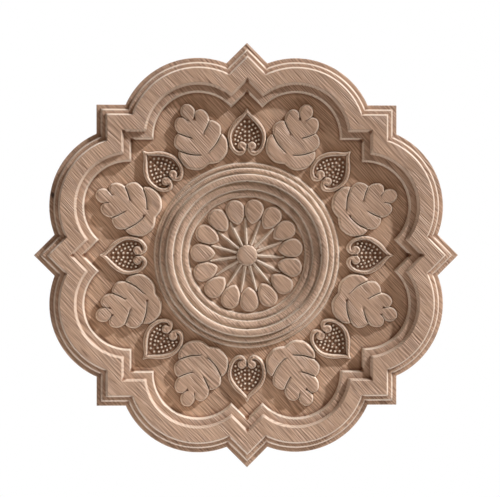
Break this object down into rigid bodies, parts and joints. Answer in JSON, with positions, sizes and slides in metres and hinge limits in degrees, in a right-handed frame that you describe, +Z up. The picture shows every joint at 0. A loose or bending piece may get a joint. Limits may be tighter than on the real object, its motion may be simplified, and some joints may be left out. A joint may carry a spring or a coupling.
{
  "type": "carved wood applique",
  "caption": "Flat-backed round wood medallion: lobed and pointed stepped rim, sunken floor with carved leaves and beaded hearts, and a ringed boss with a petalled rosette.",
  "frame": {"origin": "centre of the flat back, which is the medallion's middle", "axes": "+Y out of the flat back, so the carved front faces -Y; +Z up through one tip; +X to the right as seen from the front"},
  "size_m": [0.3, 0.02, 0.3],
  "materials": {
    "wood": "bare sanded hardwood, unfinished, fine diagonal grain"
  },
  "bodies": {
    "root": {"carved_medallion": "wood"}
  },
  "joints": []
}
